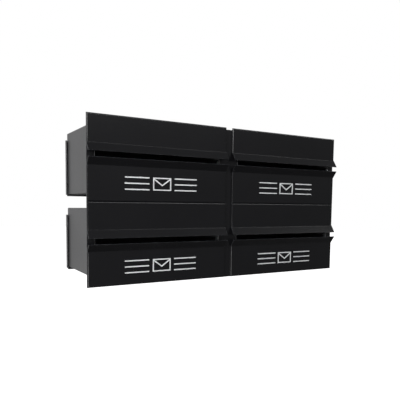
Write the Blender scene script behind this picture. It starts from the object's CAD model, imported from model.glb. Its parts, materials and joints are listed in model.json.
import json
import math

import bmesh
import bpy
from bpy.props import FloatProperty, FloatVectorProperty, PointerProperty
from bpy.types import Operator, Panel, PropertyGroup
from mathutils import Matrix, Vector

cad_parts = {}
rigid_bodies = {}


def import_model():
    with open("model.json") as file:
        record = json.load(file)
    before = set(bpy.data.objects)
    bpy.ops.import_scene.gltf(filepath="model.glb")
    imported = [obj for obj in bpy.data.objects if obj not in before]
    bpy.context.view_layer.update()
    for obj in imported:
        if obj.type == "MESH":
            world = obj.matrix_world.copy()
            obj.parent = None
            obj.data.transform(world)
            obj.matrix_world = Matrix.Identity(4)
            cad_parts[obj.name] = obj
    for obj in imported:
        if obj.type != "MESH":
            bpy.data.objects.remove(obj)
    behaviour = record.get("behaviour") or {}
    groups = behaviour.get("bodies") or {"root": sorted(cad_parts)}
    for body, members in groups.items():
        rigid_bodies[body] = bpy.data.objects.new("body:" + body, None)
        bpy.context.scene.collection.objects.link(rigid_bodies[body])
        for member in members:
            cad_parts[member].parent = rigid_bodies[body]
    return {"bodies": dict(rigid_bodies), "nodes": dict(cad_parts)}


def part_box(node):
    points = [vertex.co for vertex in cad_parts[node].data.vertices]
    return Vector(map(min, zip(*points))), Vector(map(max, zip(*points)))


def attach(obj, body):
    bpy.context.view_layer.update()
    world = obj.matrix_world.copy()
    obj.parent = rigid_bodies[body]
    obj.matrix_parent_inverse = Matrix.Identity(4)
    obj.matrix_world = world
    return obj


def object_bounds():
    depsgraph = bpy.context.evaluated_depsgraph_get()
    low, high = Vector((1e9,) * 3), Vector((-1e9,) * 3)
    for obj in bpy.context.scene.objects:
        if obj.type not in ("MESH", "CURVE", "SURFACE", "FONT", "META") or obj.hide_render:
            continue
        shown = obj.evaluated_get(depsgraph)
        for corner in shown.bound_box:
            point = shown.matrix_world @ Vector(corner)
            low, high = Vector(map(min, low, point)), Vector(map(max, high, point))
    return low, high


bl_info = {
    "name": "Through-wall letter box cluster",
    "version": (1, 0, 0),
    "blender": (4, 5, 0),
    "location": "View3D > Sidebar > Letter boxes",
    "description": "Finishes and stage for four through-wall letter boxes, two wide and two high",
    "category": "Object",
}

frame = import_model()
cad_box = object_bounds()

MM = 0.001
ROWS = ("lower", "upper")
COLUMNS = ("left", "right")
UNITS = [f"{row}_{column}" for row in ROWS for column in COLUMNS]
UPRIGHTS = ("left_upright", "centre_upright", "right_upright")
SATIN_COAT = "satin_powder_coated_steel"
MATT_COAT = "matt_powder_coated_steel"
FIXED_BODY = next(body for body in frame["bodies"] if not body.endswith("_cover"))

# Levels between which nearly all of a noise's values lie
NOISE_LOW, NOISE_HIGH = 0.25, 0.75
# Sockets of a colour mix: its factor, its two colours and its result
MIX_FACTOR, MIX_FIRST, MIX_SECOND, MIX_RESULT = 0, 6, 7, 2
# Samples of the rounding that a material draws on its edges
EDGE_SAMPLES = 4
# Cosine between the drawn normal and the face's own, where a face counts as flat and as an edge
FLAT_COSINE, EDGE_COSINE = 0.995, 0.85
# Index of refraction of a cured resin or of a plastic
RESIN_IOR = 1.5

# Lap seam: how far it stops short of the sleeve's ends, and how far it enters the floor's sheet
SEAM_FRONT_GAP = 1 * MM
SEAM_REAR_GAP = 2 * MM
SEAM_BITE = 0.3 * MM
SEAM_CHAMFER = 0.3 * MM
# Spot weld: the height of its rim, and its rings as shares of its radius and of that height
WELD_RIM = 0.3 * MM
WELD_RINGS = ((1, 0), (0.9, 1), (0.7, 1), (0.5, 0.2))
WELD_SIDES = 24

# Floor: its size, and the light that it gives off so that it reads as a bright studio's
FLOOR_RADIUS, FLOOR_SIDES = 12, 96
FLOOR_GLOW = 0.9
# Directions, as their Z from -1 straight down, over which the room brightens
LOW_FADE = (-0.7, 0.1)
# Directions, as their Y from -1 at the front to 1 at the rear, over which the backdrop takes over
BACK_FADE = (-0.2, 0.55)
# Each soft box: its place, its width and height, and the setting that holds its power
SOFT_BOXES = {
    "key_light": ((-1.35, -0.95, 0.72), (1.1, 0.8), "key_power"),
    "low_fill": ((-0.75, -1.05, -0.4), (0.7, 0.5), "fill_power"),
    "strip_light": ((1.0, -1.7, 1.2), (2.4, 0.35), "strip_power"),
}
# Camera: its place, its angles in degrees, the width of its sensor in millimetres and its shift
CAMERA_PLACE = (-0.5553, -0.8407, -0.0025)
CAMERA_PITCH, CAMERA_YAW, CAMERA_ROLL = 4.447, 30.385, -0.702
SENSOR_WIDTH = 36
CAMERA_SHIFT = 0.1


def linear(hex_colour):
    """An sRGB hex colour as linear red, green and blue."""
    values = [int(hex_colour[i : i + 2], 16) / 255 for i in (1, 3, 5)]
    return tuple(v / 12.92 if v <= 0.04045 else ((v + 0.055) / 1.055) ** 2.4 for v in values)


# Settings


class CoatSettings(PropertyGroup):
    colour: FloatVectorProperty(
        name="Front coat colour",
        description="Colour of the satin coat on the fronts and the uprights",
        subtype="COLOR",
        size=3,
        min=0,
        max=1,
        default=linear("#101012"),
    )
    edge_colour: FloatVectorProperty(
        name="Edge colour",
        description="Colour of both coats where they thin over folds and cut edges",
        subtype="COLOR",
        size=3,
        min=0,
        max=1,
        default=linear("#5c5f64"),
    )
    roughness: FloatProperty(
        name="Front roughness",
        description="Roughness of the satin coat on the fronts and the uprights",
        subtype="FACTOR",
        min=0,
        max=1,
        default=0.22,
    )
    body_colour: FloatVectorProperty(
        name="Body coat colour",
        description="Colour of the matt coat on the bodies and the rear covers",
        subtype="COLOR",
        size=3,
        min=0,
        max=1,
        default=linear("#4a4a4b"),
    )
    body_roughness: FloatProperty(
        name="Body roughness",
        description="Roughness of the matt coat on the bodies and the rear covers",
        subtype="FACTOR",
        min=0,
        max=1,
        default=0.5,
    )
    peel: FloatProperty(
        name="Peel spacing",
        description="Distance between the humps of the coats' orange peel",
        unit="LENGTH",
        min=0.0005,
        default=2.5 * MM,
    )
    edge_radius: FloatProperty(
        name="Edge rounding",
        description="Radius to which the coats round cut edges",
        unit="LENGTH",
        min=0,
        default=0.4 * MM,
    )


class MetalSettings(PropertyGroup):
    mark_colour: FloatVectorProperty(
        name="Mark colour",
        description="Colour of the aluminium mark on the front panels",
        subtype="COLOR",
        size=3,
        min=0,
        max=1,
        default=linear("#f2f3f4"),
    )
    zinc_colour: FloatVectorProperty(
        name="Zinc colour",
        description="Colour of the plated hinges and rivets",
        subtype="COLOR",
        size=3,
        min=0,
        max=1,
        default=linear("#c4c7ca"),
    )
    bead: FloatProperty(
        name="Blast grain",
        description="Size of the grain that bead blasting leaves on the mark",
        unit="LENGTH",
        min=0.0001,
        default=0.5 * MM,
    )


class SeamSettings(PropertyGroup):
    width: FloatProperty(
        name="Seam width",
        description="Width of the lap seam under each body",
        unit="LENGTH",
        min=0.004,
        default=14 * MM,
    )
    thickness: FloatProperty(
        name="Seam thickness",
        description="Thickness of the lapped sheet",
        unit="LENGTH",
        min=0.0005,
        default=1 * MM,
    )
    weld_pitch: FloatProperty(
        name="Weld spacing",
        description="Distance between the spot welds along the seam",
        unit="LENGTH",
        min=0.01,
        default=30 * MM,
    )
    weld_width: FloatProperty(
        name="Weld diameter",
        description="Diameter of the dimple that a spot weld leaves",
        unit="LENGTH",
        min=0.001,
        default=6 * MM,
    )


class StageSettings(PropertyGroup):
    floor_drop: FloatProperty(
        name="Floor drop",
        description="How far the floor lies below the fronts, which hang on a wall",
        unit="LENGTH",
        min=0,
        default=0.5,
    )
    front_light: FloatProperty(
        name="Front surroundings",
        description="Brightness of the room in front, which the fronts reflect",
        min=0,
        default=0.135,
    )
    low_light: FloatProperty(
        name="Low surroundings",
        description="Brightness of the room below the fronts, as a share of the rest",
        subtype="FACTOR",
        min=0,
        max=1,
        default=0.42,
    )
    back_light: FloatProperty(
        name="Rear surroundings",
        description="Brightness of the pale backdrop that the sides reflect",
        min=0,
        default=0.65,
    )
    key_power: FloatProperty(
        name="Key light",
        description="Power of the soft box at the left, which lights the marks",
        unit="POWER",
        min=0,
        default=28,
    )
    fill_power: FloatProperty(
        name="Low fill light",
        description="Power of the small soft box at the lower left, which evens out the marks",
        unit="POWER",
        min=0,
        default=5,
    )
    strip_power: FloatProperty(
        name="Strip light",
        description="Power of the long soft box at the upper right, which draws the folds",
        unit="POWER",
        min=0,
        default=18,
    )
    lens: FloatProperty(
        name="Lens",
        description="Focal length of the camera, in millimetres",
        unit="CAMERA",
        min=10,
        default=41.68,
    )


# Materials


def add_node(tree, kind, inputs=None, **settings):
    """A new node with its settings, and its inputs set to values or linked to sockets."""
    node = tree.nodes.new(kind)
    for name, value in settings.items():
        setattr(node, name, value)
    for key, value in (inputs or {}).items():
        if isinstance(value, bpy.types.NodeSocket):
            tree.links.new(value, node.inputs[key])
        else:
            node.inputs[key].default_value = value
    return node


def new_material(name):
    """A node material, its empty tree, and a point's place in the shared frame in metres."""
    material = bpy.data.materials.new(name)
    material.use_nodes = True
    tree = material.node_tree
    tree.nodes.clear()
    place = add_node(tree, "ShaderNodeTexCoord").outputs["Object"]
    return material, tree, place


def finish_surface(tree, inputs):
    """The shader of a material, linked to its output."""
    shader = add_node(tree, "ShaderNodeBsdfPrincipled", inputs)
    add_node(tree, "ShaderNodeOutputMaterial", {"Surface": shader.outputs["BSDF"]})


def uneven(tree, place, spacing, low, high, detail=2.0):
    """A value that wanders from low to high over humps about the given distance apart."""
    pattern = {"Vector": place, "Scale": 1 / spacing, "Detail": detail}
    humps = add_node(tree, "ShaderNodeTexNoise", pattern)
    limits = {"From Min": NOISE_LOW, "From Max": NOISE_HIGH, "To Min": low, "To Max": high}
    levels = add_node(tree, "ShaderNodeMapRange", {"Value": humps.outputs["Fac"], **limits})
    return levels.outputs["Result"]


def two_tone(tree, place, spacing, first, second, detail=2.0, reach=(0.0, 1.0)):
    """A colour that wanders between two, over the part of the way that the reach gives."""
    share = uneven(tree, place, spacing, *reach, detail)
    ends = {MIX_FACTOR: share, MIX_FIRST: (*first, 1), MIX_SECOND: (*second, 1)}
    return add_node(tree, "ShaderNodeMix", ends, data_type="RGBA").outputs[MIX_RESULT]


def raised(tree, place, spacing, height, strength, detail=2.0, normal=None):
    """A normal tilted by humps of the given height, about the given distance apart."""
    pattern = {"Vector": place, "Scale": 1 / spacing, "Detail": detail}
    humps = add_node(tree, "ShaderNodeTexNoise", pattern)
    inputs = {"Height": humps.outputs["Fac"], "Distance": height, "Strength": strength}
    if normal is not None:
        inputs["Normal"] = normal
    return add_node(tree, "ShaderNodeBump", inputs).outputs["Normal"]


def scaled(colour, share):
    """A colour made lighter or darker."""
    return [share * channel for channel in colour]


def powder_coated_steel(name, coat, coat_colour, coat_roughness):
    """Folded mild steel, sprayed with black polyester powder and baked.

    The film is dielectric. It flows a little before it sets, which leaves a shallow orange peel,
    and it draws back over folds and cut edges, which then look paler. The satin coat of the fronts
    mirrors the room softly. The matt coat of the bodies has chalk in its resin, which scatters
    light and looks grey.
    """
    # The film's thickness clouds over the width of a hand
    cloud, paler = 90 * MM, scaled(coat_colour, 1.25)
    # A wide sheet of this gauge isn't quite flat between its folds
    wave, wave_height = 160 * MM, 0.6 * MM
    # The powder's grain is 0.05 mm, drawn at 0.9 mm so that it shows
    grain, smoother, rougher = 0.9 * MM, coat_roughness - 0.04, coat_roughness + 0.04
    peel_height = 0.02 * MM

    material, tree, place = new_material(name)
    bevel = add_node(tree, "ShaderNodeBevel", {"Radius": coat.edge_radius}, samples=EDGE_SAMPLES)
    rounded = bevel.outputs["Normal"]
    face = add_node(tree, "ShaderNodeNewGeometry").outputs["True Normal"]
    cosine = add_node(tree, "ShaderNodeVectorMath", {0: rounded, 1: face}, operation="DOT_PRODUCT")
    limits = {"From Min": FLAT_COSINE, "From Max": EDGE_COSINE, "To Min": 0.0, "To Max": 1.0}
    edge = add_node(tree, "ShaderNodeMapRange", {"Value": cosine.outputs["Value"], **limits})
    ends = {
        MIX_FACTOR: edge.outputs["Result"],
        MIX_FIRST: two_tone(tree, place, cloud, coat_colour, paler, detail=3.0),
        MIX_SECOND: (*coat.edge_colour, 1),
    }
    normal = raised(tree, place, wave, wave_height, strength=1.0, detail=0.0, normal=rounded)
    inputs = {
        "Base Color": add_node(tree, "ShaderNodeMix", ends, data_type="RGBA").outputs[MIX_RESULT],
        "Roughness": uneven(tree, place, grain, smoother, rougher, detail=1.0),
        "Normal": raised(tree, place, coat.peel, peel_height, strength=0.6, normal=normal),
        "IOR": RESIN_IOR,
    }
    finish_surface(tree, inputs)
    return material


def zinc_plated_steel(metals):
    """Cold-formed steel, barrel plated with bright zinc.

    The plating is a soft grey mirror that mottles where the parts rub each other in the barrel.
    """
    mottle, darker = 6 * MM, scaled(metals.zinc_colour, 0.8)
    rub, rub_depth = 1.2 * MM, 0.01 * MM
    bright, dull = 0.28, 0.46
    edge_radius = 0.25 * MM

    material, tree, place = new_material("zinc_plated_steel")
    bevel = add_node(tree, "ShaderNodeBevel", {"Radius": edge_radius}, samples=EDGE_SAMPLES)
    rounded = bevel.outputs["Normal"]
    inputs = {
        "Base Color": two_tone(tree, place, mottle, metals.zinc_colour, darker, detail=3.0),
        "Metallic": 1.0,
        "Roughness": uneven(tree, place, rub, bright, dull),
        "Normal": raised(tree, place, rub, rub_depth, strength=0.5, normal=rounded),
    }
    finish_surface(tree, inputs)
    return material


def blasted_aluminium(metals):
    """Aluminium sheet, cut by laser, bead blasted and clear anodised.

    Blasting scatters the light, so the mark looks pale silver from every side.
    """
    patch, darker = 9 * MM, scaled(metals.mark_colour, 0.9)
    grain_depth = 0.04 * MM
    smooth, rough = 0.74, 0.86
    edge_radius = 0.2 * MM

    material, tree, place = new_material("blasted_aluminium")
    bevel = add_node(tree, "ShaderNodeBevel", {"Radius": edge_radius}, samples=EDGE_SAMPLES)
    rounded = bevel.outputs["Normal"]
    inputs = {
        "Base Color": two_tone(tree, place, patch, metals.mark_colour, darker),
        "Metallic": 1.0,
        "Roughness": uneven(tree, place, metals.bead, smooth, rough),
        "Normal": raised(tree, place, metals.bead, grain_depth, strength=0.5, normal=rounded),
    }
    finish_surface(tree, inputs)
    return material


def moulded_polyethylene():
    """Black polyethylene, injection moulded.

    The spark-eroded tool leaves a fine matt grain, which looks a little paler on its humps.
    """
    grain, grain_depth = 0.8 * MM, 0.03 * MM
    hollow, hump = linear("#0f0f10"), linear("#1a1a1b")

    material, tree, place = new_material("moulded_polyethylene")
    inputs = {
        "Base Color": two_tone(tree, place, grain, hollow, hump, reach=(NOISE_LOW, NOISE_HIGH)),
        "Roughness": 0.6,
        "Normal": raised(tree, place, grain, grain_depth, strength=0.6),
        "IOR": RESIN_IOR,
    }
    finish_surface(tree, inputs)
    return material


def painted_floor():
    """Pale painted boards.

    The roller leaves a faint stipple, and the strong light on the boards hides most of it.
    """
    stipple, stipple_height = 4 * MM, 0.05 * MM
    hollow, hump = linear("#f4f4f4"), linear("#f9f9f9")

    material, tree, place = new_material("painted_floor")
    inputs = {
        "Base Color": two_tone(tree, place, stipple, hollow, hump, reach=(NOISE_LOW, NOISE_HIGH)),
        "Roughness": 0.9,
        "Normal": raised(tree, place, stipple, stipple_height, strength=0.3),
        "Emission Color": (1, 1, 1, 1),
        "Emission Strength": FLOOR_GLOW,
    }
    finish_surface(tree, inputs)
    return material


def use_material(nodes, material):
    """Gives CAD nodes one material."""
    for name in nodes:
        mesh = frame["nodes"][name].data
        mesh.materials.clear()
        mesh.materials.append(material)


# Pieces


def new_piece(name, mesh, material):
    """A piece from a finished bmesh, with its material and the record's slot."""
    data = bpy.data.meshes.new(name)
    mesh.to_mesh(data)
    mesh.free()
    data.materials.append(material)
    piece = bpy.data.objects.new(name, data)
    bpy.context.scene.collection.objects.link(piece)
    return piece


def strip_between(mesh, x_middle, width, y_ends, z_ends, chamfer):
    """Adds a flat strip along Y whose lower long edges are chamfered."""
    half = width / 2
    low, high = z_ends
    outline = [
        (-half, high),
        (-half, low + chamfer),
        (-half + chamfer, low),
        (half - chamfer, low),
        (half, low + chamfer),
        (half, high),
    ]
    rings = [[mesh.verts.new((x_middle + x, y, z)) for x, z in outline] for y in y_ends]
    mesh.faces.new(rings[0])
    mesh.faces.new(reversed(rings[1]))
    for i in range(len(outline)):
        j = (i + 1) % len(outline)
        mesh.faces.new((rings[0][j], rings[0][i], rings[1][i], rings[1][j]))


def dish_below(mesh, middle, outline):
    """Adds a shallow dish under a face, from rings given as their radius and their drop."""
    turns = [2 * math.pi * i / WELD_SIDES for i in range(WELD_SIDES)]
    rings = []
    for radius, drop in outline:
        corners = [(radius * math.cos(a), radius * math.sin(a), -drop) for a in turns]
        rings.append([mesh.verts.new(middle + Vector(corner)) for corner in corners])
    for outer, inner in zip(rings, rings[1:]):
        for i in range(WELD_SIDES):
            j = (i + 1) % WELD_SIDES
            face = mesh.faces.new((outer[i], inner[i], inner[j], outer[j]))
            face.smooth = True
    mesh.faces.new(reversed(rings[-1]))


def lap_seam(low, high, seam):
    """The lapped edge that closes a sleeve under its floor, with the dimples of its spot welds."""
    mesh = bmesh.new()
    middle = (low.x + high.x) / 2
    front, rear = low.y + SEAM_FRONT_GAP, high.y - SEAM_REAR_GAP
    underside = low.z - seam.thickness
    # The strip's upper side lies a little inside the floor's sheet, so that no slit shows
    heights = (underside, low.z + SEAM_BITE)
    strip_between(mesh, middle, seam.width, (front, rear), heights, SEAM_CHAMFER)
    radius = seam.weld_width / 2
    outline = [(share * radius, drop * WELD_RIM) for share, drop in WELD_RINGS]
    welds = int((rear - front) / seam.weld_pitch)
    first = (front + rear - (welds - 1) * seam.weld_pitch) / 2
    for i in range(welds):
        dish_below(mesh, Vector((middle, first + i * seam.weld_pitch, underside)), outline)
    bmesh.ops.recalc_face_normals(mesh, faces=mesh.faces)
    return mesh


def finished_material(name):
    """A material that an earlier operator made."""
    material = bpy.data.materials.get(name)
    if material is None:
        raise RuntimeError(f"{name} isn't made yet: finish the sheet metal first")
    return material


# Operators


class LETTERBOX_OT_coat_sheet(Operator):
    """Coats the fronts and uprights in satin black powder, the bodies and rear covers in matt"""

    bl_idname = "letterbox.coat_sheet"
    bl_label = "Coat the sheet metal"

    def execute(self, context):
        coat = context.scene.letterbox_coat
        satin = powder_coated_steel(SATIN_COAT, coat, coat.colour, coat.roughness)
        matt = powder_coated_steel(MATT_COAT, coat, coat.body_colour, coat.body_roughness)
        use_material(UPRIGHTS, satin)
        coated = ((satin, ("slot_hood", "front_panel")), (matt, ("body", "rear_cover")))
        for material, parts in coated:
            use_material([f"{unit}_{part}" for unit in UNITS for part in parts], material)
        return {"FINISHED"}


class LETTERBOX_OT_weld_seams(Operator):
    """Closes each body with a spot-welded lap seam under its floor"""

    bl_idname = "letterbox.weld_seams"
    bl_label = "Weld the seams"

    def execute(self, context):
        coat = finished_material(MATT_COAT)
        for unit in UNITS:
            mesh = lap_seam(*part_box(f"{unit}_body"), context.scene.letterbox_seam)
            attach(new_piece(f"{unit}_lap_seam", mesh, coat), FIXED_BODY)
        return {"FINISHED"}


class LETTERBOX_OT_plate_hinges(Operator):
    """Plates the hinges, their pins and all rivets with zinc"""

    bl_idname = "letterbox.plate_hinges"
    bl_label = "Plate the hinges and rivets"

    def execute(self, context):
        material = zinc_plated_steel(context.scene.letterbox_metals)
        parts = (
            "hinge_body_leaf",
            "hinge_cover_leaf",
            "hinge_pin",
            "hinge_body_rivets",
            "hinge_cover_rivets",
            "body_rivets",
        )
        use_material([f"{unit}_{part}" for unit in UNITS for part in parts], material)
        return {"FINISHED"}


class LETTERBOX_OT_blast_marks(Operator):
    """Blasts the aluminium marks on the front panels"""

    bl_idname = "letterbox.blast_marks"
    bl_label = "Blast the marks"

    def execute(self, context):
        material = blasted_aluminium(context.scene.letterbox_metals)
        use_material([f"{unit}_post_mark" for unit in UNITS], material)
        return {"FINISHED"}


class LETTERBOX_OT_mould_caps(Operator):
    """Gives the centre upright's end caps their moulded finish"""

    bl_idname = "letterbox.mould_caps"
    bl_label = "Mould the end caps"

    def execute(self, context):
        use_material(["upright_end_caps"], moulded_polyethylene())
        return {"FINISHED"}


class LETTERBOX_OT_set_stage(Operator):
    """Adds the floor, the soft lights, the surroundings and the camera"""

    bl_idname = "letterbox.set_stage"
    bl_label = "Set the stage"

    def execute(self, context):
        stage = context.scene.letterbox_stage
        self.lay_floor(stage)
        self.paint_surroundings(context.scene, stage)
        self.hang_lights(stage)
        self.place_camera(context.scene, stage)
        context.scene.view_settings.view_transform = "Standard"
        return {"FINISHED"}

    def lay_floor(self, stage):
        """A round floor below the object, which neither lights the fronts nor shows in them."""
        mesh = bmesh.new()
        bmesh.ops.create_circle(mesh, cap_ends=True, segments=FLOOR_SIDES, radius=FLOOR_RADIUS)
        floor = bpy.data.objects.new("floor", bpy.data.meshes.new("floor"))
        mesh.to_mesh(floor.data)
        mesh.free()
        floor.data.materials.append(painted_floor())
        floor.location.z = cad_box[0].z - stage.floor_drop
        floor.visible_diffuse = False
        floor.visible_glossy = False
        bpy.context.scene.collection.objects.link(floor)

    def paint_surroundings(self, scene, stage):
        """A pale backdrop behind the object and a dim room in front of it, seen as plain white."""
        world = bpy.data.worlds.new("surroundings")
        world.use_nodes = True
        tree = world.node_tree
        tree.nodes.clear()
        towards = add_node(tree, "ShaderNodeTexCoord").outputs["Generated"]
        axes = add_node(tree, "ShaderNodeSeparateXYZ", {"Vector": towards}).outputs
        level = stage.low_light * stage.front_light
        fades = (("Z", LOW_FADE, stage.front_light), ("Y", BACK_FADE, stage.back_light))
        for axis, (start, end), beyond in fades:
            limits = {"From Min": start, "From Max": end, "To Min": level, "To Max": beyond}
            inputs = {"Value": axes[axis], **limits}
            fade = add_node(tree, "ShaderNodeMapRange", inputs, interpolation_type="SMOOTHSTEP")
            level = fade.outputs["Result"]
        lit = add_node(tree, "ShaderNodeBackground", {"Color": (1, 1, 1, 1), "Strength": level})
        seen = add_node(tree, "ShaderNodeBackground", {"Color": (1, 1, 1, 1), "Strength": 1.0})
        to_camera = add_node(tree, "ShaderNodeLightPath").outputs["Is Camera Ray"]
        ends = {0: to_camera, 1: lit.outputs["Background"], 2: seen.outputs["Background"]}
        both = add_node(tree, "ShaderNodeMixShader", ends)
        add_node(tree, "ShaderNodeOutputWorld", {"Surface": both.outputs["Shader"]})
        scene.world = world

    def hang_lights(self, stage):
        """The key and a low fill at the left, and a long strip at the upper right."""
        for name, (place, (width, height), power) in SOFT_BOXES.items():
            light = bpy.data.lights.new(name, "AREA")
            light.shape = "RECTANGLE"
            light.size = width
            light.size_y = height
            light.energy = getattr(stage, power)
            lamp = bpy.data.objects.new(name, light)
            lamp.location = place
            lamp.rotation_euler = (-Vector(place)).to_track_quat("-Z", "Y").to_euler()
            bpy.context.scene.collection.objects.link(lamp)

    def place_camera(self, scene, stage):
        """A camera at the front left, level with the middle of the front, aimed slightly down."""
        angles = (CAMERA_PITCH, CAMERA_YAW, CAMERA_ROLL)
        pitch, yaw, roll = (math.radians(angle) for angle in angles)
        reach = math.cos(pitch)
        ahead = Vector((math.sin(yaw) * reach, math.cos(yaw) * reach, -math.sin(pitch)))
        level = Vector((math.cos(yaw), -math.sin(yaw), 0))
        down = ahead.cross(level)
        right = math.cos(roll) * level + math.sin(roll) * down
        up = math.sin(roll) * level - math.cos(roll) * down
        data = bpy.data.cameras.new("camera")
        data.lens = stage.lens
        data.sensor_width = SENSOR_WIDTH
        data.shift_y = CAMERA_SHIFT
        camera = bpy.data.objects.new("camera", data)
        turn = Matrix((right, up, -ahead)).transposed()
        camera.matrix_world = Matrix.Translation(CAMERA_PLACE) @ turn.to_4x4()
        scene.collection.objects.link(camera)
        scene.camera = camera


class LETTERBOX_PT_sidebar(Panel):
    """Lists the finishes and the stage, with their settings"""

    bl_label = "Letter boxes"
    bl_idname = "LETTERBOX_PT_sidebar"
    bl_space_type = "VIEW_3D"
    bl_region_type = "UI"
    bl_category = "Letter boxes"

    def draw(self, context):
        for step in STEPS:
            self.layout.operator(step.bl_idname)
        for name in SETTINGS:
            group = getattr(context.scene, name)
            box = self.layout.box()
            for setting in group.bl_rna.properties.keys():
                if setting not in {"rna_type", "name"}:
                    box.prop(group, setting)


SETTINGS = {
    "letterbox_coat": CoatSettings,
    "letterbox_metals": MetalSettings,
    "letterbox_seam": SeamSettings,
    "letterbox_stage": StageSettings,
}
STEPS = (
    LETTERBOX_OT_coat_sheet,
    LETTERBOX_OT_weld_seams,
    LETTERBOX_OT_plate_hinges,
    LETTERBOX_OT_blast_marks,
    LETTERBOX_OT_mould_caps,
    LETTERBOX_OT_set_stage,
)


def register():
    for group in SETTINGS.values():
        bpy.utils.register_class(group)
    for name, group in SETTINGS.items():
        setattr(bpy.types.Scene, name, PointerProperty(type=group))
    for step in STEPS:
        bpy.utils.register_class(step)
    bpy.utils.register_class(LETTERBOX_PT_sidebar)


def unregister():
    bpy.utils.unregister_class(LETTERBOX_PT_sidebar)
    for step in reversed(STEPS):
        bpy.utils.unregister_class(step)
    for name in SETTINGS:
        delattr(bpy.types.Scene, name)
    for group in reversed(SETTINGS.values()):
        bpy.utils.unregister_class(group)


def main():
    register()
    for step in STEPS:
        group, name = step.bl_idname.split(".")
        getattr(getattr(bpy.ops, group), name)()


if __name__ == "__main__":
    main()
